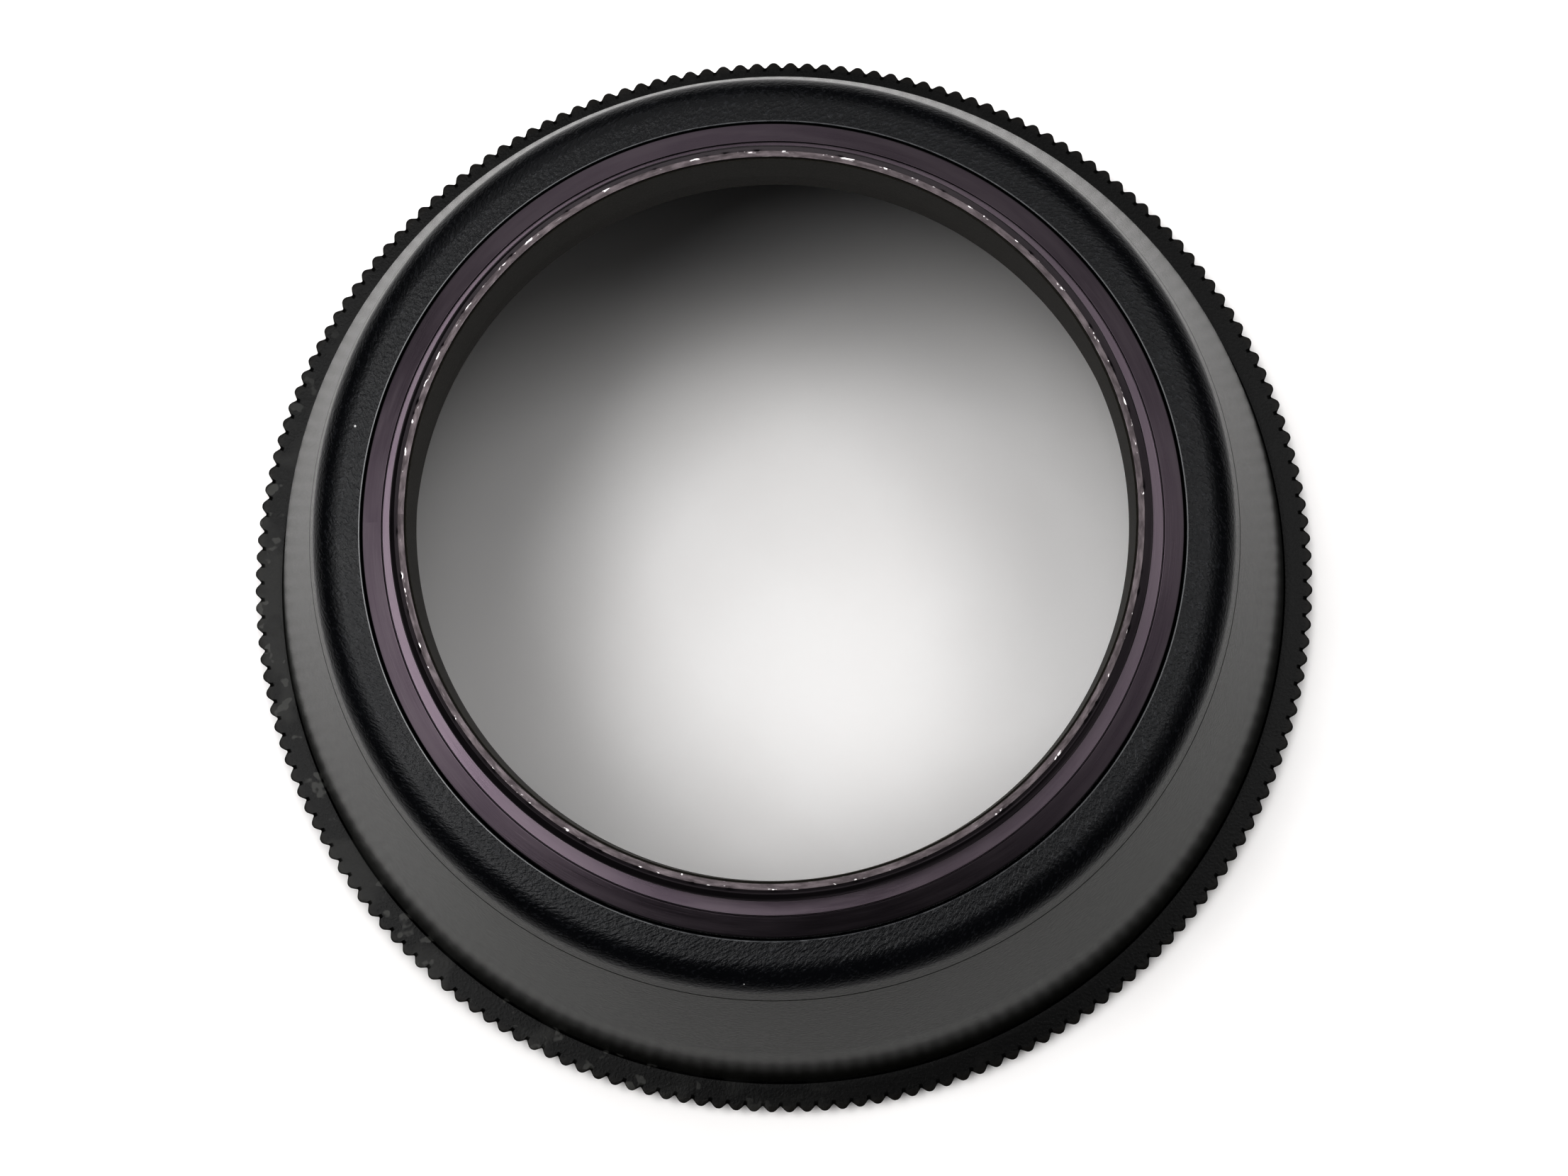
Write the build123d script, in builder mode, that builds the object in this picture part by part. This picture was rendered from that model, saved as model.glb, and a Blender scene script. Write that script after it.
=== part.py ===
from build123d import *

import math
import os

# Collapsible rubber lens hood with a screw-in mount ring, standing on its front rim.
# The optical axis is Z and the lens end is up. The origin is on that axis, in the
# plane that the rim stands on. Every radius is from the axis and every height (_Z)
# is from that plane, in millimetres.
#
# The rubber is one moulding in the real hood. It is split here at its two fold lines,
# under the shoulder and above the rim, because the rim slides back towards the lens
# when the hood is folded and the wall between them changes shape.

# Lens thread, a 49 mm filter thread drawn as a plain cylinder at its major radius
THREAD_RADIUS = 49.0 / 2
THREAD_END_CHAMFER = 0.70
BORE_RADIUS = 23.25

# Front rim
RIM_RADIUS = 40.8  # over the tips of the teeth
RIM_HEIGHT = 2.2
TOOTH_COUNT = 190
TOOTH_DEPTH = 0.48
TOOTH_TOP_WIDTH = 0.40
FIRST_TOOTH_DEG = 0.0
RIM_EDGE_CHAMFER = 0.3
NECK_HEIGHT = 0.9  # plain band between the toothed flange and the flared wall
CREASE_WIDTH = 0.3  # V-shaped crease in the flange's top, round the foot of the neck
CREASE_DEPTH = 0.4

# Flared wall
WALL = 1.2
NECK_RADIUS = 38.4
KNEE_RADIUS = 36.05  # where the flare steepens towards the neck
KNEE_Z = 12.5
KNEE_ROUND = 40.0
FLARE_DEG = 20.1  # the flare above the knee, from the axis
FOLD_Z = 26.3
FOLD_WALL = 0.9  # the wall is thinner where it folds, from a groove on its inner side
FOLD_GROOVE_HEIGHT = 1.0

# Shoulder of the rubber, which wraps the edge of the mount ring and rolls into the flare
SHOULDER_TOP_Z = 29.1
SHOULDER_ROUND = 2.3
LIP_GAP = 0.2  # open line between the metal flange and the rubber lip
LIP_ROUND = 0.25
BEAD_SLOPE = 1.4  # how far the bead's foot stands in from the fold

# Mount ring
FLANGE_RADIUS = 26.85
FLANGE_EDGE_Z = 29.35
FACE_Z = 29.6
FLANGE_THICKNESS = 1.25
LINE_RADIUS = 25.5  # fine turned line between the two bands of the flange's face
LINE_WIDTH = 0.16
LINE_DEPTH = 0.14
THREAD_END_Z = 33.1
BORE_FOOT_Z = 29.4
SLEEVE_RADIUS = 25.6
SLEEVE_WALL = 1.2

# Retaining ring, screwed on the sleeve from the front, with four slots for a spanner
RING_OUTER_RADIUS = 28.2
RING_HEIGHT = 1.3
RING_EDGE_CHAMFER = 0.25
BEAD_HEIGHT = 3.4
SLOT_COUNT = 4
SLOT_WIDTH = 2.0
SLOT_DEPTH = 0.6

ASSEMBLY_GAP = 0.05  # between turned or moulded faces that slip over each other

# Heights and radii that follow from the ones above
neck_top_z = RIM_HEIGHT + NECK_HEIGHT
neck_inner_radius = NECK_RADIUS - WALL
flange_foot_z = FLANGE_EDGE_Z - FLANGE_THICKNESS
bead_foot_z = flange_foot_z - BEAD_HEIGHT
sleeve_foot_z = bead_foot_z - RING_HEIGHT
groove_end_z = FOLD_Z - FOLD_GROOVE_HEIGHT
flare_angle = math.radians(FLARE_DEG)
foot_angle = math.atan2(NECK_RADIUS - KNEE_RADIUS, KNEE_Z - neck_top_z)

os.makedirs("parts", exist_ok=True)


def flare_radius(height):
    """Outer radius of the flare at a height above the knee."""
    return KNEE_RADIUS - (height - KNEE_Z) * math.tan(flare_angle)


def toothed_outline():
    """Corner points of the rim's outline: V-shaped notches between narrow flat teeth."""
    root_radius = RIM_RADIUS - TOOTH_DEPTH
    half_pitch = math.pi / TOOTH_COUNT
    half_top = TOOTH_TOP_WIDTH / 2 / RIM_RADIUS
    points = []
    for tooth in range(TOOTH_COUNT):
        middle = math.radians(FIRST_TOOTH_DEG) + 2 * half_pitch * tooth
        corners = (
            (RIM_RADIUS, middle - half_top),
            (RIM_RADIUS, middle + half_top),
            (root_radius, middle + half_pitch),
        )
        points += [(r * math.cos(a), r * math.sin(a)) for r, a in corners]
    return points


# Mount ring: thread, flange with its turned line, and the sleeve that carries the rubber
with BuildPart() as mount_ring:
    with BuildSketch(Plane.XZ):
        with BuildLine():
            Polyline(
                (BORE_RADIUS, BORE_FOOT_Z),
                (BORE_RADIUS, THREAD_END_Z),
                (THREAD_RADIUS, THREAD_END_Z),
                (THREAD_RADIUS, FACE_Z),
                (LINE_RADIUS - LINE_WIDTH / 2, FACE_Z),
                (LINE_RADIUS, FACE_Z - LINE_DEPTH),
                (LINE_RADIUS + LINE_WIDTH / 2, FACE_Z),
                (FLANGE_RADIUS, FLANGE_EDGE_Z),
                (FLANGE_RADIUS, flange_foot_z),
                (SLEEVE_RADIUS, flange_foot_z),
                (SLEEVE_RADIUS, sleeve_foot_z),
                (SLEEVE_RADIUS - SLEEVE_WALL, sleeve_foot_z),
                (SLEEVE_RADIUS - SLEEVE_WALL, BORE_FOOT_Z),
                close=True,
            )
        make_face()
    revolve(axis=Axis.Z)
    thread_end = mount_ring.edges().filter_by(GeomType.CIRCLE).group_by(Axis.Z)[-1]
    chamfer(thread_end.sort_by(SortBy.RADIUS)[-1], length=THREAD_END_CHAMFER)

mount_ring.part.label = "mount_ring"
export_step(mount_ring.part, "parts/mount_ring.step")


# Retaining ring: clamps the rubber bead against the underside of the mount ring's flange
with BuildPart() as retaining_ring:
    with BuildSketch(Plane.XY.offset(sleeve_foot_z)):
        Circle(RING_OUTER_RADIUS)
        Circle(SLEEVE_RADIUS + ASSEMBLY_GAP, mode=Mode.SUBTRACT)
    extrude(amount=RING_HEIGHT)
    front_edges = retaining_ring.edges().filter_by(GeomType.CIRCLE).group_by(Axis.Z)[0]
    chamfer(front_edges.sort_by(SortBy.RADIUS)[-1], length=RING_EDGE_CHAMFER)
    with BuildSketch(Plane.XY.offset(sleeve_foot_z)):
        with PolarLocations((SLEEVE_RADIUS + RING_OUTER_RADIUS) / 2, SLOT_COUNT):
            Rectangle(RING_OUTER_RADIUS - SLEEVE_RADIUS + 1, SLOT_WIDTH)
    extrude(amount=SLOT_DEPTH, mode=Mode.SUBTRACT)

retaining_ring.part.label = "retaining_ring"
export_step(retaining_ring.part, "parts/retaining_ring.step")


# Rubber collar: the bead gripped between the two metal rings, and the rounded shoulder
with BuildPart() as rubber_collar:
    bead_radius = SLEEVE_RADIUS + ASSEMBLY_GAP
    lip_radius = FLANGE_RADIUS + LIP_GAP
    fold_radius = flare_radius(FOLD_Z)
    # the round is tangent to the flat top and to the flare
    corner_radius = flare_radius(SHOULDER_TOP_Z)
    reach = SHOULDER_ROUND * math.tan((math.pi / 2 - flare_angle) / 2)
    with BuildSketch(Plane.XZ):
        with BuildLine():
            shoulder_start = (corner_radius - reach, SHOULDER_TOP_Z)
            shoulder_end = (
                corner_radius + reach * math.sin(flare_angle),
                SHOULDER_TOP_Z - reach * math.cos(flare_angle),
            )
            RadiusArc(shoulder_start, shoulder_end, SHOULDER_ROUND)
            Polyline(
                shoulder_end,
                (fold_radius, FOLD_Z),
                (fold_radius - FOLD_WALL, FOLD_Z),
                (fold_radius - FOLD_WALL - BEAD_SLOPE, bead_foot_z),
                (bead_radius, bead_foot_z),
                (bead_radius, flange_foot_z - ASSEMBLY_GAP),
                (lip_radius, flange_foot_z - ASSEMBLY_GAP),
                (lip_radius, SHOULDER_TOP_Z),
                shoulder_start,
            )
        make_face()
    revolve(axis=Axis.Z)
    top_edges = rubber_collar.edges().filter_by(GeomType.CIRCLE).group_by(Axis.Z)[-1]
    fillet(top_edges.sort_by(SortBy.RADIUS)[0], radius=LIP_ROUND)

rubber_collar.part.label = "rubber_collar"
export_step(rubber_collar.part, "parts/rubber_collar.step")


# Rubber wall: the flared stretch that folds, from the fold under the shoulder to the rim
with BuildPart() as rubber_wall:
    inward = WALL / math.cos(flare_angle)
    fold_radius = flare_radius(FOLD_Z)
    knee_reach = KNEE_ROUND * math.tan((flare_angle - foot_angle) / 2)
    knee_low = (
        KNEE_RADIUS + knee_reach * math.sin(foot_angle),
        KNEE_Z - knee_reach * math.cos(foot_angle),
    )
    knee_high = (
        KNEE_RADIUS - knee_reach * math.sin(flare_angle),
        KNEE_Z + knee_reach * math.cos(flare_angle),
    )
    with BuildSketch(Plane.XZ):
        with BuildLine():
            Polyline(
                (KNEE_RADIUS - inward, KNEE_Z),
                (neck_inner_radius, neck_top_z),
                (NECK_RADIUS, neck_top_z),
                knee_low,
            )
            RadiusArc(knee_low, knee_high, -KNEE_ROUND)
            Polyline(
                knee_high,
                (fold_radius, FOLD_Z),
                (fold_radius - FOLD_WALL, FOLD_Z),
                (flare_radius(groove_end_z) - inward, groove_end_z),
                (KNEE_RADIUS - inward, KNEE_Z),
            )
        make_face()
    revolve(axis=Axis.Z)

rubber_wall.part.label = "rubber_wall"
export_step(rubber_wall.part, "parts/rubber_wall.step")


# Rubber rim: the toothed flange that the hood stands on, and the plain neck above it
with BuildPart() as rubber_rim:
    with BuildSketch():
        with BuildLine():
            Polyline(*toothed_outline(), close=True)
        make_face()
    extrude(amount=RIM_HEIGHT)
    with BuildSketch(Plane.XY.offset(RIM_HEIGHT)):
        Circle(NECK_RADIUS)
    extrude(amount=NECK_HEIGHT)
    with BuildSketch():
        Circle(neck_inner_radius)
    extrude(amount=neck_top_z, mode=Mode.SUBTRACT)
    with BuildSketch(Plane.XZ):
        with BuildLine():
            Polyline(
                (NECK_RADIUS, RIM_HEIGHT),
                (NECK_RADIUS + CREASE_WIDTH, RIM_HEIGHT),
                (NECK_RADIUS, RIM_HEIGHT - CREASE_DEPTH),
                close=True,
            )
        make_face()
    revolve(axis=Axis.Z, mode=Mode.SUBTRACT)
    mouth_edge = rubber_rim.edges().filter_by(GeomType.CIRCLE).group_by(Axis.Z)[0]
    chamfer(mouth_edge, length=RIM_EDGE_CHAMFER)

rubber_rim.part.label = "rubber_rim"
export_step(rubber_rim.part, "parts/rubber_rim.step")
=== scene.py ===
import math
import random

import bpy
from mathutils import Matrix, Vector


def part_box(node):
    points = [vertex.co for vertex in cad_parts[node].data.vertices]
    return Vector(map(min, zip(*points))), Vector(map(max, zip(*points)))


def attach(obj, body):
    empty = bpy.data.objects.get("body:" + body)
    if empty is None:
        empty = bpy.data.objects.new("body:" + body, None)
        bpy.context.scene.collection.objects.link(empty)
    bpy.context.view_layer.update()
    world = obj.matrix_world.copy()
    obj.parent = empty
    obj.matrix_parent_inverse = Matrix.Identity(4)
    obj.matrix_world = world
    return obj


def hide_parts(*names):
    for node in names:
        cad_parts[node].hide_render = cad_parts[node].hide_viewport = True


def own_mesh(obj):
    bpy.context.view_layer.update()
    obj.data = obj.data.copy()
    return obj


# A collapsible rubber lens hood with a screw-in metal mount ring, seen from the lens end.
# Profiles are in millimetres: radius from the optical axis, and height above the plane
# that the hood stands on. The meshes are in metres.

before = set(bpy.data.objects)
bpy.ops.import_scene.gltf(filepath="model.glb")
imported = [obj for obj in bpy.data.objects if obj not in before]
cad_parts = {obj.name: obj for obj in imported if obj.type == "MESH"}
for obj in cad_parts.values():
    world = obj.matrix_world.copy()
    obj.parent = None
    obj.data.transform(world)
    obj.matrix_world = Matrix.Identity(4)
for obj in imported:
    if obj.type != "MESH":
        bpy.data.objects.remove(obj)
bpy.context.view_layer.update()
random.seed(49)

MM = 0.001
FULL_TURN = 2 * math.pi
WIDEST_FACET = math.radians(15)
TOLERANCE = 0.01  # millimetres, for finding the faces on a known radius
TOP_BAND = 0.06  # how far below a flat top its rounded edges still count as top


def node_box_mm(node):
    """Outer radius, lowest and highest height of a CAD node, in millimetres."""
    low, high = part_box(node)
    return high.x / MM, low.z / MM, high.z / MM


flange_radius, sleeve_foot, thread_end = node_box_mm("mount_ring")
ring_radius, ring_foot, ring_top = node_box_mm("retaining_ring")
fold_radius, bead_foot, shoulder_top = node_box_mm("rubber_collar")
neck_radius, neck_top, fold_height = node_box_mm("rubber_wall")
rim_radius = node_box_mm("rubber_rim")[0]

# Mount ring
BORE_RADIUS = 23.25
BORE_FOOT = 29.4
BORE_STEP = 0.08  # a fine step under the end face leaves a dark line round the bore
BORE_LEDGE = 0.13
ASSEMBLY_GAP = 0.05  # between turned or moulded faces that slip over each other
THREAD_RADIUS = 24.49
THREAD_PITCH = 0.75
THREAD_DEPTH = 0.6134 * THREAD_PITCH
THREAD_CREST = 0.125  # flat crest and flat root, as shares of the pitch
THREAD_ROOT = 0.25
THREAD_FOOT = 30.1
END_CHAMFER = 0.70
FACE_HEIGHT = 29.6
FLANGE_EDGE = 29.35
FLANGE_THICKNESS = 1.25
LINE_RADIUS = 25.5
LINE_HALF_WIDTH = 0.05
LINE_DEPTH = 0.12
SLEEVE_RADIUS = 25.6
SLEEVE_WALL = 1.2

# Rubber
WALL = 1.2
KNEE_RADIUS = 36.05  # where the flare steepens towards the rim
KNEE_HEIGHT = 12.5
KNEE_ROUND = 40.0
FOLD_WALL = 0.9
FOLD_GROOVE_HEIGHT = 1.0
SHOULDER_ROUND = 2.3
SHOULDER_FOOT = 27.7  # where the round runs out into the flare
LIP_GAP = 0.2
LIP_LAND = 0.11  # smooth flat edge beside the gap
BEAD_SLOPE = 1.4  # how far the bead's foot stands in from the fold
RIDGE_HEIGHT = 0.18  # light-trap ridges inside the wall
RIDGE_PITCH = 1.1
RIDGE_STEEPNESS = 2.5
RIDGE_MARGIN = 0.03  # share of the wall's height left plain at each end

# Rim
RIM_HEIGHT = 2.2
CREASE_WIDTH = 0.3  # V-shaped crease in the flange's top, round the foot of the neck
CREASE_DEPTH = 0.4
TOOTH_COUNT = 190
TOOTH_DEPTH = 0.48
TOOTH_HALF_TOP = 0.2
TOOTH_SOFTNESS = 0.09
TIP_CLEARANCE = 0.005  # keeps the tips inside the CAD solid's
DUST_AZIMUTH = math.radians(-148)  # the side of the rim that is marked by dust


# ---------------------------------------------------------------- meshes


def rounded(corners, step=0.3):
    """A closed outline from corners (radius, height, rounding), with arcs at the rounded
    corners and the straight stretches divided into steps."""
    outline = []
    count = len(corners)
    for index in range(count):
        before = Vector(corners[index - 1][:2])
        here = Vector(corners[index][:2])
        after = Vector(corners[(index + 1) % count][:2])
        rounding = corners[index][2]
        to_before = (before - here).normalized()
        to_after = (after - here).normalized()
        opening = to_before.angle(to_after)
        if rounding <= 0 or opening > math.pi - 0.01:
            outline.append(here)
            continue
        reach = rounding / math.tan(opening / 2)
        centre = here + (to_before + to_after).normalized() * rounding / math.sin(opening / 2)
        start = here + to_before * reach - centre
        turn = start.angle_signed(here + to_after * reach - centre)
        pieces = max(math.ceil(abs(turn) / WIDEST_FACET),
                     math.ceil(abs(turn) * rounding / step))
        for piece in range(pieces + 1):
            angle = -turn * piece / pieces
            spun = Matrix.Rotation(angle, 2) @ start
            outline.append(centre + spun)
    divided = []
    for index, point in enumerate(outline):
        following = outline[(index + 1) % len(outline)]
        parts = max(1, math.ceil((following - point).length / step))
        divided += [point.lerp(following, part / parts) for part in range(parts)]
    return [(point.x, point.y) for point in divided]


def even_angles(count):
    """Angles round a full turn."""
    return [FULL_TURN * index / count for index in range(count)]


def lathe(name, outline, angles, shape=None, material_of=None):
    """A closed ring: the outline, in millimetres, carried round the axis. shape changes a
    point (radius, height) at an angle; material_of picks a face's material slot."""
    vertices = []
    for angle in angles:
        for radius, height in outline:
            if shape:
                radius_now, height_now = shape(radius, height, angle)
            else:
                radius_now, height_now = radius, height
            vertices.append((
                radius_now * math.cos(angle) * MM,
                radius_now * math.sin(angle) * MM,
                height_now * MM,
            ))
    rows, columns = len(outline), len(angles)
    faces = []
    slots = []
    for column in range(columns):
        beside = (column + 1) % columns
        for row in range(rows):
            above = (row + 1) % rows
            faces.append((
                column * rows + row,
                beside * rows + row,
                beside * rows + above,
                column * rows + above,
            ))
            slots.append(material_of(outline[row], outline[above]) if material_of else 0)
    mesh = bpy.data.meshes.new(name)
    mesh.from_pydata(vertices, [], faces)
    mesh.polygons.foreach_set("use_smooth", [True] * len(faces))
    mesh.polygons.foreach_set("material_index", slots)
    mesh.update()
    piece = bpy.data.objects.new(name, mesh)
    bpy.context.scene.collection.objects.link(piece)
    return piece


def finish_piece(piece, body, node, materials):
    """Gives a piece its materials and its body, and hides the CAD node that it stands for."""
    for material in materials:
        piece.data.materials.append(material)
    flats = piece.modifiers.new("even_normals", "WEIGHTED_NORMAL")
    flats.keep_sharp = True
    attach(piece, body)
    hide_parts(node)
    return piece


# ---------------------------------------------------------------- materials


class Finish:
    """A node material with one Principled shader and short ways to add nodes to it.
    Texture scales are in cells per metre, and bump heights in millimetres."""

    def __init__(self, name, **constants):
        self.material = bpy.data.materials.new(name)
        self.material.use_nodes = True
        self.tree = self.material.node_tree
        self.shader = self.tree.nodes["Principled BSDF"]
        for socket, value in constants.items():
            self.shader.inputs[socket.replace("_", " ")].default_value = value
        self.where = self.add("ShaderNodeTexCoord").outputs["Object"]

    def add(self, kind, **inputs):
        """A node; an input is a constant or another node's output."""
        node = self.tree.nodes.new(kind)
        for socket, value in inputs.items():
            self.put(node.inputs[socket.replace("_", " ")], value)
        return node

    def put(self, socket, value):
        if isinstance(value, bpy.types.NodeSocket):
            self.tree.links.new(value, socket)
        else:
            socket.default_value = value

    def math(self, operation, first, second=0.0, third=0.0, clamp=False):
        node = self.tree.nodes.new("ShaderNodeMath")
        node.operation = operation
        node.use_clamp = clamp
        for socket, value in zip(node.inputs, (first, second, third)):
            self.put(socket, value)
        return node.outputs[0]

    def ramp(self, value, low, high, to_low=0.0, to_high=1.0):
        """value taken from the range low..high to to_low..to_high, smoothly and clamped."""
        node = self.add("ShaderNodeMapRange", Value=value)
        node.interpolation_type = "SMOOTHSTEP"
        for socket, number in (("From Min", low), ("From Max", high),
                               ("To Min", to_low), ("To Max", to_high)):
            node.inputs[socket].default_value = number
        return node.outputs["Result"]

    def noise(self, scale, detail=2.0, roughness=0.5, where=None):
        node = self.add("ShaderNodeTexNoise", Vector=where or self.where, Scale=scale,
                        Detail=detail, Roughness=roughness)
        return node.outputs["Fac"]

    def cells(self, scale, feature="F1", where=None):
        node = self.add("ShaderNodeTexVoronoi", Vector=where or self.where, Scale=scale)
        node.feature = feature
        return node

    def unroll(self, mean_radius_mm):
        """Sets the sockets radius, in millimetres, and angle, and a vector that unrolls the
        ring: length along the circumference, radius and height, in metres."""
        x, y, z = self.add("ShaderNodeSeparateXYZ", Vector=self.where).outputs
        radius = self.math("SQRT", self.math("ADD", self.math("MULTIPLY", x, x),
                                             self.math("MULTIPLY", y, y)))
        self.radius = self.math("MULTIPLY", radius, 1 / MM)
        self.angle = self.math("ARCTAN2", y, x)
        along = self.math("MULTIPLY", self.angle, mean_radius_mm * MM)
        self.unrolled = self.add("ShaderNodeCombineXYZ", X=along, Y=radius, Z=z).outputs[0]

    def slant(self, vector, angle):
        """Unrolled coordinates turned in the plane of the circumference and the radius."""
        node = self.add("ShaderNodeVectorRotate", Vector=vector, Angle=angle)
        node.rotation_type = "Z_AXIS"
        return node.outputs[0]

    def stretch(self, vector, x, y, z):
        node = self.add("ShaderNodeMapping", Vector=vector)
        node.inputs["Scale"].default_value = (x, y, z)
        return node.outputs[0]

    def mix(self, share, first, second):
        node = self.tree.nodes.new("ShaderNodeMix")
        node.data_type = "RGBA"
        self.put(node.inputs["Factor"], share)
        self.put(node.inputs[6], first)
        self.put(node.inputs[7], second)
        return node.outputs[2]

    def bump(self, height, distance_mm, strength=1.0, normal=None):
        node = self.add("ShaderNodeBump", Height=height, Distance=distance_mm * MM,
                        Strength=strength)
        if normal:
            self.put(node.inputs["Normal"], normal)
        return node.outputs["Normal"]

    def use(self, **sockets):
        for socket, value in sockets.items():
            self.put(self.shader.inputs[socket.replace("_", " ")], value)
        return self.material


def colour(red, green, blue):
    return (red, green, blue, 1.0)


def dust_specks(finish, scale, size, rarity):
    """A mask of sparse bright specks."""
    cells = finish.cells(scale)
    near = finish.ramp(cells.outputs["Distance"], size * 0.6, size, 1.0, 0.0)
    chosen = finish.math("GREATER_THAN",
                         finish.add("ShaderNodeSeparateColor",
                                    Color=cells.outputs["Color"]).outputs[0], rarity)
    return finish.math("MULTIPLY", near, chosen)


def collar_rubber():
    """Bluish black rubber with a leathery grain of short, slanting creases, whose strokes are
    painted lighter as a painted highlight.
    """
    finish = Finish("collar_rubber_finish", Specular_IOR_Level=0.22)
    finish.unroll(mean_radius_mm=28.5)
    tint = finish.noise(300, 4)
    slanted = finish.slant(finish.unrolled, math.radians(35))
    strokes = finish.noise(5200, 2, 0.6, finish.stretch(slanted, 0.4, 1.0, 1.0))
    grain = finish.noise(4300, 3, 0.65)
    leather = finish.math("ADD", finish.math("MULTIPLY", strokes, 0.6),
                          finish.math("MULTIPLY", grain, 0.4))
    base = finish.mix(finish.ramp(tint, 0.3, 0.7), colour(0.0014, 0.0018, 0.0030),
                      colour(0.0021, 0.0026, 0.0042))
    # Painted highlight: the grain's strokes are painted lighter, in place of the glints off
    # their bumps.
    grain_glint_painted = finish.mix(finish.ramp(leather, 0.52, 0.66, 0.0, 0.7), base,
                      colour(0.020, 0.021, 0.025))
    specks = dust_specks(finish, 620, 0.06, 0.9)
    shade = finish.mix(specks, grain_glint_painted, colour(0.5, 0.5, 0.5))
    relief = finish.bump(leather, 0.065, 1.0)
    return finish.use(Base_Color=shade, Roughness=finish.ramp(tint, 0.2, 0.8, 0.23, 0.28),
                      Normal=relief)


def smooth_lip():
    """The rubber's moulded edge beside the metal, polished by handling, and painted lighter
    than the collar as a painted highlight along the lip.
    """
    finish = Finish("smooth_lip_finish", Specular_IOR_Level=0.65)
    rubbed = finish.noise(1800, 3)
    # Painted highlight: the lip's colour is lighter than the collar's, standing in for the
    # bright line along its edge.
    shade = finish.mix(finish.ramp(rubbed, 0.3, 0.7), colour(0.012, 0.013, 0.016),
                       colour(0.03, 0.032, 0.036))
    return finish.use(Base_Color=shade, Roughness=finish.ramp(rubbed, 0.3, 0.7, 0.16, 0.26))


def wall_rubber():
    """Greyish, slightly olive rubber with a fine grain and a faint bloom."""
    finish = Finish("wall_rubber_finish", Specular_IOR_Level=0.09)
    bloom = finish.noise(120, 4, 0.55)
    grain = finish.noise(4200, 3, 0.7)
    base = finish.mix(finish.ramp(bloom, 0.3, 0.7), colour(0.0024, 0.0026, 0.0016),
                      colour(0.0040, 0.0043, 0.0027))
    grained = finish.mix(finish.ramp(grain, 0.4, 0.7), base, colour(0.012, 0.0125, 0.0085))
    relief = finish.bump(grain, 0.024, 1.0)
    return finish.use(Base_Color=grained, Normal=relief,
                      Roughness=finish.ramp(grain, 0.3, 0.7, 0.24, 0.18))


def rim_rubber():
    """Black rubber, browner on the teeth, with dust rubbed into one side."""
    finish = Finish("rim_rubber_finish", Roughness=0.25, Specular_IOR_Level=0.13)
    finish.unroll(rim_radius)
    patches = finish.noise(160, 5, 0.65)
    grain = finish.noise(4500, 3, 0.65)
    base = finish.mix(finish.ramp(grain, 0.35, 0.7), colour(0.0015, 0.0015, 0.0015),
                      colour(0.0045, 0.0045, 0.0044))
    teeth = finish.ramp(finish.radius, rim_radius - 0.7, rim_radius - 0.2)
    browned = finish.mix(finish.math("MULTIPLY", teeth, 0.5), base, colour(0.02, 0.017, 0.014))
    dusty = finish.ramp(patches, 0.55, 0.75, 0.0, 0.3)
    dust = finish.mix(dusty, browned, colour(0.05, 0.05, 0.048))
    from_dust = finish.math("SUBTRACT", finish.angle, DUST_AZIMUTH)
    handled = finish.ramp(finish.math("COSINE", from_dust), 0.3, 0.9)
    marks = finish.ramp(finish.noise(700, 2, 0.5), 0.6, 0.66)
    smudge = finish.math("MULTIPLY", finish.ramp(finish.noise(260, 2), 0.46, 0.6), 0.35)
    lighter = finish.math("MULTIPLY", handled, finish.math("MAXIMUM", marks, smudge))
    dust = finish.mix(finish.math("MULTIPLY", lighter, 0.8), dust, colour(0.075, 0.075, 0.07))
    relief = finish.bump(grain, 0.016, 1.0)
    return finish.use(Base_Color=dust, Normal=relief)


def anodised_ring():
    """Turned aluminium, black anodising faded to purple."""
    finish = Finish("anodised_ring_finish", Metallic=1.0, Anisotropic=0.3)
    tangent = finish.tree.nodes.new("ShaderNodeTangent")
    tangent.direction_type = "RADIAL"
    tangent.axis = "Z"
    finish.unroll(mean_radius_mm=25.0)
    streaks = finish.noise(1200, 3, 0.6, finish.stretch(finish.unrolled, 0.12, 1.0, 1.0))
    turning = finish.noise(14000, 2, 0.5, finish.stretch(finish.unrolled, 0.02, 1.0, 1.0))
    cloud = finish.noise(90, 4)
    base = finish.mix(finish.ramp(cloud, 0.3, 0.7), colour(0.050, 0.041, 0.049),
                      colour(0.060, 0.050, 0.058))
    faded = finish.mix(finish.ramp(streaks, 0.35, 0.7, 0.0, 0.6), base,
                       colour(0.078, 0.067, 0.075))
    specks = dust_specks(finish, 900, 0.05, 0.95)
    shade = finish.mix(specks, faded, colour(0.4, 0.38, 0.38))
    relief = finish.bump(turning, 0.006, 0.5)
    return finish.use(Base_Color=shade, Normal=relief, Tangent=tangent.outputs[0],
                      Roughness=finish.ramp(streaks, 0.3, 0.8, 0.27, 0.34))


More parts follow.
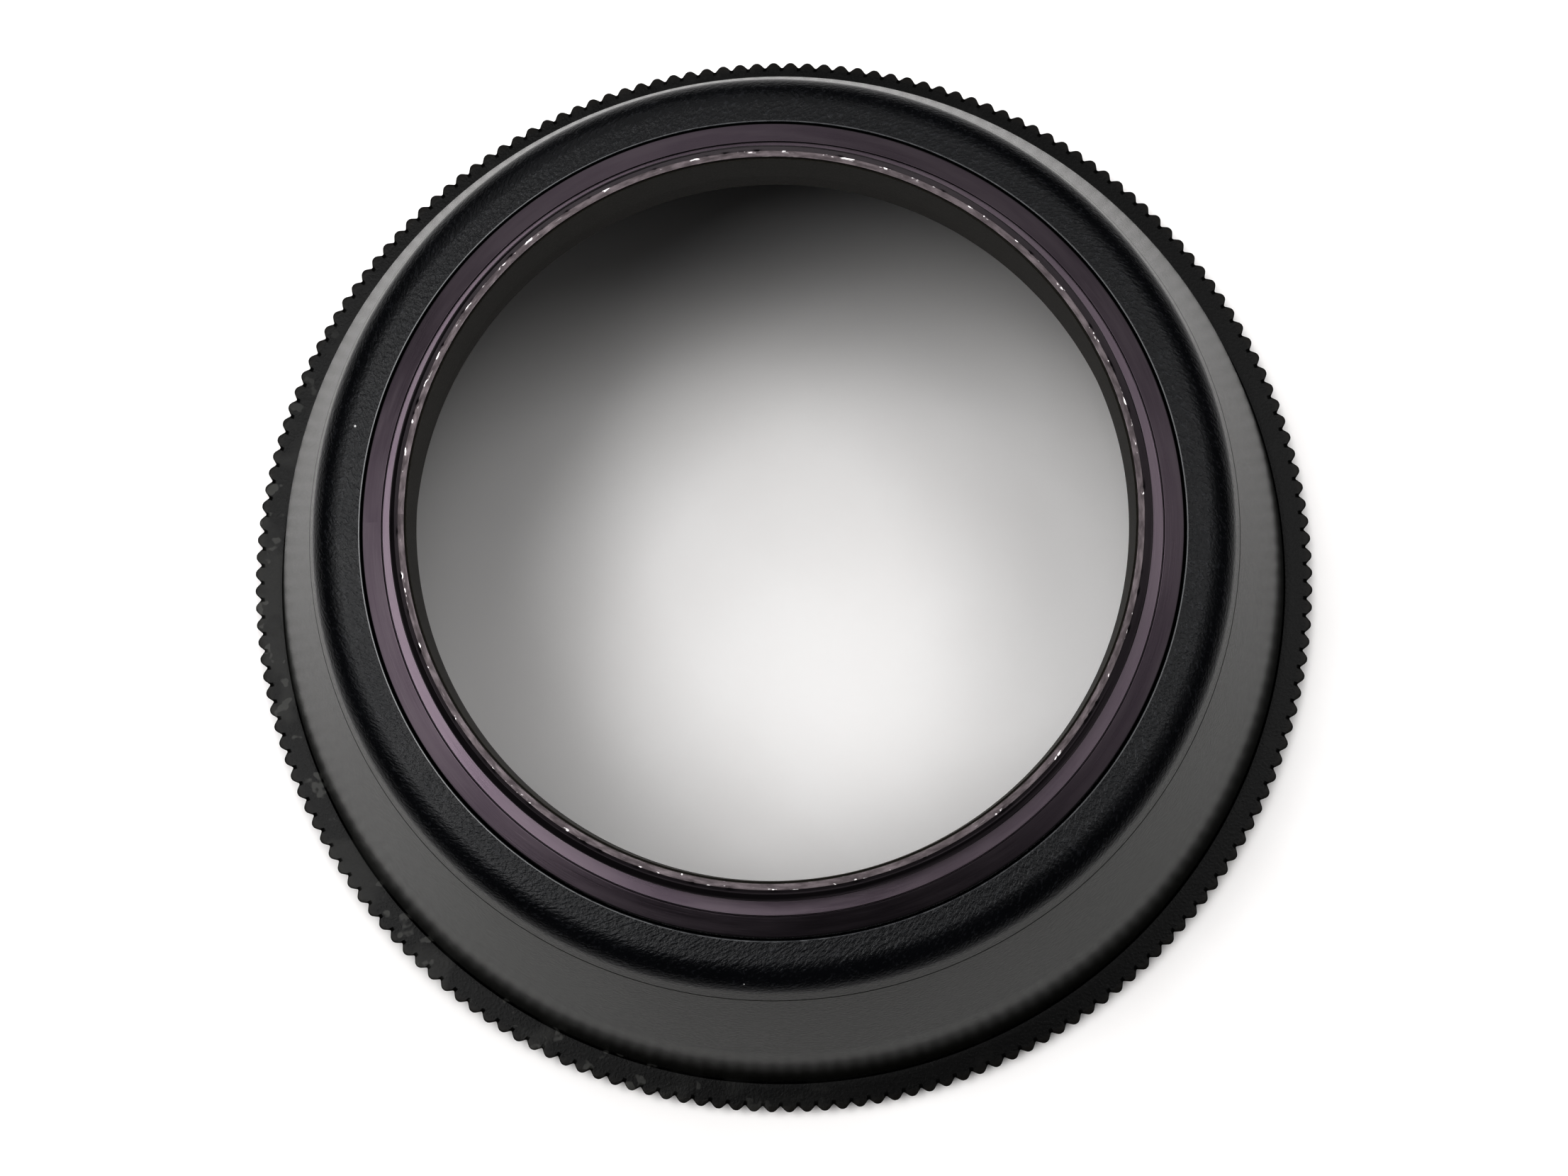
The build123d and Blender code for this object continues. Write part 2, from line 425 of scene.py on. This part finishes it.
def worn_end_face():
    """The end that stands on benches: brownish grey, with bare nicks along its edges."""
    finish = Finish("worn_end_finish", Metallic=0.5)
    finish.unroll(mean_radius_mm=24.0)
    rubbed = finish.noise(2600, 4, 0.65, finish.stretch(finish.unrolled, 0.3, 1.0, 1.0))
    base = finish.mix(finish.ramp(rubbed, 0.25, 0.75), colour(0.07, 0.058, 0.062),
                      colour(0.13, 0.112, 0.118))
    middle = (BORE_RADIUS + THREAD_RADIUS - END_CHAMFER) / 2
    from_middle = finish.math("ABSOLUTE", finish.math("SUBTRACT", finish.radius, middle))
    near_edge = finish.ramp(from_middle, 0.08, 0.24)
    scratches = finish.noise(3400, 2, 0.6, finish.stretch(finish.unrolled, 0.4, 1.0, 1.0))
    bare = finish.math("MULTIPLY", near_edge, finish.ramp(scratches, 0.6, 0.66))
    bitten = finish.mix(bare, base, colour(0.7, 0.68, 0.68))
    specks = dust_specks(finish, 1300, 0.09, 0.9)
    shade = finish.mix(specks, bitten, colour(0.75, 0.73, 0.73))
    return finish.use(Base_Color=shade, Normal=finish.bump(rubbed, 0.02, 0.5),
                      Roughness=finish.ramp(rubbed, 0.3, 0.7, 0.6, 0.42))


def bore_black():
    """Neutral matt black anodising on the bore and the sleeve."""
    finish = Finish("bore_black_finish", Metallic=0.6, Roughness=0.55)
    grain = finish.noise(7000, 3, 0.6)
    base = finish.mix(finish.ramp(grain, 0.3, 0.7), colour(0.030, 0.027, 0.022),
                      colour(0.050, 0.046, 0.038))
    return finish.use(Base_Color=base, Normal=finish.bump(grain, 0.01, 0.5))


# ---------------------------------------------------------------- mount ring

NICK_COUNT = 70
NICK_REACH = 0.09  # how far from the end face's outer edge the dents go
nicks = [
    (random.uniform(0, FULL_TURN), random.uniform(0.06, 0.22), random.uniform(0.015, 0.05))
    for _ in range(NICK_COUNT)
]


def nick_depth(angle, radius):
    """How far the end face's edge is dented at an angle."""
    depth = 0.0
    for middle, width, deepest in nicks:
        away = abs((angle - middle + math.pi) % FULL_TURN - math.pi) * radius
        if away < width:
            depth = max(depth, deepest * (1 + math.cos(math.pi * away / width)) / 2)
    return depth


def thread_radius(height, angle):
    """Radius of the 60 degree thread, a right-hand helix, cut back by the end's chamfer."""
    phase = (height / THREAD_PITCH - angle / FULL_TURN) % 1.0
    from_crest = abs(2 * phase - 1)
    flank = (from_crest - THREAD_CREST) / (1 - THREAD_CREST - THREAD_ROOT)
    cut = THREAD_RADIUS - THREAD_DEPTH * min(1.0, max(0.0, flank))
    chamfer = thread_end - height + THREAD_RADIUS - END_CHAMFER
    return min(cut, chamfer)


def shape_mount_ring(radius, height, angle):
    on_thread = THREAD_RADIUS - THREAD_DEPTH < radius < THREAD_RADIUS + TOLERANCE
    if on_thread and THREAD_FOOT < height < thread_end - TOP_BAND:
        radius = thread_radius(height, angle)
    edge = THREAD_RADIUS - END_CHAMFER
    if height > thread_end - NICK_REACH and radius > edge - NICK_REACH:
        dent = nick_depths[angle]
        radius -= dent
        height -= dent
    return radius, height


def mount_ring_material(start, end):
    """The bore and the sleeve are matt black, the end face is worn, and everything else
    is faded anodising."""
    in_bore = max(start[0], end[0]) < BORE_RADIUS + BORE_LEDGE + TOLERANCE
    under_flange = max(start[1], end[1]) < FLANGE_EDGE - 0.4
    if in_bore or under_flange:
        return 1
    return 2 if min(start[1], end[1]) > thread_end - TOP_BAND else 0


relief_radius = THREAD_RADIUS - THREAD_DEPTH
flange_foot = FLANGE_EDGE - FLANGE_THICKNESS
mount_outline = rounded([
    (BORE_RADIUS, BORE_FOOT, 0.06),
    (BORE_RADIUS, thread_end - BORE_STEP, 0.02),
    (BORE_RADIUS + BORE_LEDGE, thread_end - BORE_STEP - BORE_LEDGE, 0.0),
    (BORE_RADIUS + BORE_LEDGE, thread_end, 0.03),
    (THREAD_RADIUS - END_CHAMFER, thread_end, 0.04),
    (THREAD_RADIUS, thread_end - END_CHAMFER, 0.0),
    (THREAD_RADIUS, THREAD_FOOT, 0.0),
    (relief_radius, THREAD_FOOT - 0.1, 0.0),
    (relief_radius, FACE_HEIGHT, 0.1),
    (LINE_RADIUS - LINE_HALF_WIDTH, FACE_HEIGHT, 0.015),
    (LINE_RADIUS, FACE_HEIGHT - LINE_DEPTH, 0.0),
    (LINE_RADIUS + LINE_HALF_WIDTH, FACE_HEIGHT, 0.015),
    (flange_radius, FLANGE_EDGE, 0.06),
    (flange_radius, flange_foot, 0.1),
    (SLEEVE_RADIUS, flange_foot, 0.0),
    (SLEEVE_RADIUS, sleeve_foot, 0.15),
    (SLEEVE_RADIUS - SLEEVE_WALL, sleeve_foot, 0.15),
    (SLEEVE_RADIUS - SLEEVE_WALL, BORE_FOOT, 0.1),
], step=0.07)
ring_angles = even_angles(900)
nick_depths = {angle: nick_depth(angle, THREAD_RADIUS) for angle in ring_angles}
mount_ring = lathe("mount_ring_turned", mount_outline, ring_angles, shape_mount_ring,
                   mount_ring_material)
bore_finish = bore_black()
finish_piece(mount_ring, "mount", "mount_ring",
             [anodised_ring(), bore_finish, worn_end_face()])

# ---------------------------------------------------------------- retaining ring

SPANNER_SLOTS = 4
SLOT_WIDTH = 2.0
SLOT_DEPTH = 0.6
SLOT_SOFTNESS = 0.05


def shape_retaining_ring(radius, height, angle):
    quarter = FULL_TURN / SPANNER_SLOTS
    across = radius * math.sin(abs((angle + quarter / 2) % quarter - quarter / 2))
    if height < ring_foot + SLOT_DEPTH and across < SLOT_WIDTH / 2:
        height = ring_foot + SLOT_DEPTH
    return radius, height


slot_edges = [
    FULL_TURN * slot / SPANNER_SLOTS + side * (SLOT_WIDTH / 2 + shift) / SLEEVE_RADIUS
    for slot in range(SPANNER_SLOTS)
    for side in (-1, 1)
    for shift in (-SLOT_SOFTNESS, SLOT_SOFTNESS)
]
retaining_ring = lathe(
    "retaining_ring_turned",
    rounded([
        (SLEEVE_RADIUS + ASSEMBLY_GAP, ring_foot, 0.12),
        (SLEEVE_RADIUS + ASSEMBLY_GAP, ring_top, 0.0),
        (ring_radius, ring_top, 0.1),
        (ring_radius, ring_foot, 0.25),
    ]),
    sorted(angle % FULL_TURN for angle in even_angles(360) + slot_edges),
    shape_retaining_ring,
)
finish_piece(retaining_ring, "mount", "retaining_ring", [bore_finish])

# ---------------------------------------------------------------- rubber

flare = math.atan2(KNEE_RADIUS - fold_radius, fold_height - KNEE_HEIGHT)
inward = WALL / math.cos(flare)


def flare_radius(height):
    """Outer radius of the flare at a height above the knee."""
    return KNEE_RADIUS - (height - KNEE_HEIGHT) * math.tan(flare)


def collar_material(start, end):
    """The lip beside the gap is smooth, the top has a leather grain, and the side below
    the round has the wall's finish."""
    on_top = min(start[1], end[1]) > shoulder_top - TOP_BAND
    if on_top and max(start[0], end[0]) < lip_radius + LIP_LAND + TOLERANCE:
        return 1
    below_round = max(start[1], end[1]) < SHOULDER_FOOT
    on_outside = min(start[0], end[0]) > fold_radius - FOLD_WALL
    return 2 if below_round and on_outside else 0


lip_radius = flange_radius + LIP_GAP
collar = lathe(
    "collar_moulding",
    rounded([
        (flare_radius(shoulder_top), shoulder_top, SHOULDER_ROUND),
        (fold_radius, fold_height, 0.0),
        (fold_radius - FOLD_WALL, fold_height, 0.0),
        (fold_radius - FOLD_WALL - BEAD_SLOPE, bead_foot, 0.3),
        (SLEEVE_RADIUS + ASSEMBLY_GAP, bead_foot, 0.2),
        (SLEEVE_RADIUS + ASSEMBLY_GAP, flange_foot - ASSEMBLY_GAP, 0.2),
        (lip_radius, flange_foot - ASSEMBLY_GAP, 0.0),
        (lip_radius, shoulder_top, 0.05),
        (lip_radius + LIP_LAND, shoulder_top, 0.0),
    ], step=0.12),
    even_angles(480),
    material_of=collar_material,
)
wall_finish = wall_rubber()
finish_piece(collar, "mount", "rubber_collar",
             [collar_rubber(), smooth_lip(), wall_finish])

groove_end = fold_height - FOLD_GROOVE_HEIGHT


def shape_wall(radius, height, angle):
    """Light-trap ridges on the inner side of the flare, left out near its ends."""
    share = (height - KNEE_HEIGHT) / (groove_end - KNEE_HEIGHT)
    on_inside = radius < flare_radius(height) - inward / 2
    if on_inside and RIDGE_MARGIN < share < 1 - RIDGE_MARGIN:
        phase = (height / RIDGE_PITCH) % 1.0
        radius += RIDGE_HEIGHT * min(1.0, RIDGE_STEEPNESS * min(phase, 1 - phase))
    return radius, height


wall = lathe(
    "wall_moulding",
    rounded([
        (neck_radius - WALL, neck_top, 0.0),
        (neck_radius, neck_top, 0.0),
        (KNEE_RADIUS, KNEE_HEIGHT, KNEE_ROUND),
        (fold_radius, fold_height, 0.0),
        (fold_radius - FOLD_WALL, fold_height, 0.0),
        (flare_radius(groove_end) - inward, groove_end, 0.6),
        (KNEE_RADIUS - inward, KNEE_HEIGHT, KNEE_ROUND),
    ], step=0.18),
    even_angles(360),
    shape_wall,
)
finish_piece(wall, "mount", "rubber_wall", [wall_finish])
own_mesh(wall)

# ---------------------------------------------------------------- toothed rim

ROOT_RADIUS = rim_radius - TOOTH_DEPTH
TOOTH_STATIONS = (0.0, 0.1, 0.2, 0.28, 0.36, 0.43, 0.5, 0.57, 0.64, 0.72, 0.8, 0.9)
half_pitch = math.pi * rim_radius / TOOTH_COUNT


def tooth_drop(angle):
    """How far the rim's edge lies inside the tips: soft tops and 45 degree flanks."""
    share = (angle / FULL_TURN * TOOTH_COUNT) % 1.0
    along = min(share, 1 - share) * 2 * half_pitch
    past = along - TOOTH_HALF_TOP
    drop = (past + math.hypot(past, TOOTH_SOFTNESS)) / 2
    top = (math.hypot(TOOTH_HALF_TOP, TOOTH_SOFTNESS) - TOOTH_HALF_TOP) / 2
    return min(TOOTH_DEPTH, drop - top) + TIP_CLEARANCE


def shape_rim(radius, height, angle):
    if radius > ROOT_RADIUS + 0.1:
        radius -= tooth_drops[angle]
    return radius, height


def rim_material(start, end):
    """The outside of the neck has the wall's finish."""
    on_neck = all(abs(point[0] - neck_radius) < TOLERANCE for point in (start, end))
    return 1 if on_neck else 0


rim_angles = [
    FULL_TURN * (tooth + station) / TOOTH_COUNT
    for tooth in range(TOOTH_COUNT)
    for station in TOOTH_STATIONS
]
tooth_drops = {angle: tooth_drop(angle) for angle in rim_angles}
rim = lathe(
    "rim_moulding",
    rounded([
        (neck_radius - WALL, 0.0, 0.35),
        (ROOT_RADIUS - 0.4, 0.0, 0.0),
        (rim_radius, 0.0, 0.1),
        (rim_radius, RIM_HEIGHT, 0.12),
        (ROOT_RADIUS - 0.3, RIM_HEIGHT, 0.0),
        (neck_radius + CREASE_WIDTH, RIM_HEIGHT, 0.05),
        (neck_radius, RIM_HEIGHT - CREASE_DEPTH, 0.0),
        (neck_radius, neck_top, 0.0),
        (neck_radius - WALL, neck_top, 0.0),
    ], step=0.5),
    rim_angles,
    shape_rim,
    rim_material,
)
finish_piece(rim, "rim", "rubber_rim", [rim_rubber(), wall_finish])

# ---------------------------------------------------------------- floor, light, camera

CONTRAST_GAMMA = 0.667  # black rubber on white paper, printed with deep blacks

FLOOR_SIDE = 3.0
floor_mesh = bpy.data.meshes.new("floor")
corner = FLOOR_SIDE / 2
floor_mesh.from_pydata(
    [(-corner, -corner, 0), (corner, -corner, 0), (corner, corner, 0), (-corner, corner, 0)],
    [], [(0, 1, 2, 3)],
)
floor = bpy.data.objects.new("floor", floor_mesh)
bpy.context.scene.collection.objects.link(floor)
paper = Finish("floor_paper", Roughness=0.8)
floor_mesh.materials.append(paper.use(Base_Color=paper.mix(
    paper.ramp(paper.noise(60, 3), 0.3, 0.7), colour(0.80, 0.79, 0.785),
    colour(0.82, 0.812, 0.808))))


def soft_box(name, azimuth, elevation, spread, brightness):
    """A square area light that looks at the hood from a direction, spread degrees wide."""
    lamp = bpy.data.lights.new(name, "AREA")
    lamp.size = 2 * LIGHT_DISTANCE * math.tan(math.radians(spread / 2))
    lamp.energy = brightness * math.pi * lamp.size ** 2
    turn, rise = math.radians(azimuth), math.radians(elevation)
    towards = Vector((math.cos(turn) * math.cos(rise), math.sin(turn) * math.cos(rise),
                      math.sin(rise)))
    holder = bpy.data.objects.new(name, lamp)
    holder.location = towards * LIGHT_DISTANCE
    holder.rotation_mode = "QUATERNION"
    holder.rotation_quaternion = towards.to_track_quat("Z", "Y")
    bpy.context.scene.collection.objects.link(holder)


# A soft room: a bright side behind the hood, a pale ceiling, and nothing in front of it
LIGHT_DISTANCE = 0.9
SOFT_BOXES = (
    ("window", 112, 42, 34, 1.9),
    ("ceiling_right", 0, 60, 34, 1.4),
    ("ceiling_far_right", 45, 60, 34, 1.3),
    ("ceiling_far", 90, 60, 34, 1.1),
    ("ceiling_left", 180, 60, 34, 3.7),
    ("lamp_right", 24, 75, 18, 5.2),
    ("lamp_left", 144, 75, 18, 7.3),
    ("lamp_near_left", 204, 75, 18, 5.6),
)
for box in SOFT_BOXES:
    soft_box(*box)

world = bpy.data.worlds.new("room")
bpy.context.scene.world = world
world.use_nodes = True
sky = world.node_tree.nodes["Background"]
sky.inputs["Color"].default_value = (0.93, 0.92, 0.93, 1.0)
sky.inputs["Strength"].default_value = 0.2

# The camera's place and axes relative to the top plane of the rim, as shares of its radius
CAMERA_PLACE = Vector((0.1008, -0.5297, 4.2569))
CAMERA_RIGHT = Vector((0.99975, 0.0013, -0.0223))
CAMERA_BACK = Vector((0.0223, -0.1170, 0.9929))
camera_data = bpy.data.cameras.new("camera")
camera_data.sensor_width = 36.0
camera_data.lens = 52.08
camera_data.clip_start = 0.01
camera = bpy.data.objects.new("camera", camera_data)
back = CAMERA_BACK.normalized()
up = back.cross(CAMERA_RIGHT).normalized()
right = up.cross(back)
place = CAMERA_PLACE * rim_radius * MM + Vector((0, 0, RIM_HEIGHT * MM))
camera.matrix_world = Matrix((
    (right.x, up.x, back.x, place.x),
    (right.y, up.y, back.y, place.y),
    (right.z, up.z, back.z, place.z),
    (0, 0, 0, 1),
))
bpy.context.scene.collection.objects.link(camera)
bpy.context.scene.camera = camera
view = bpy.context.scene.view_settings
view.view_transform = "Standard"
view.gamma = CONTRAST_GAMMA
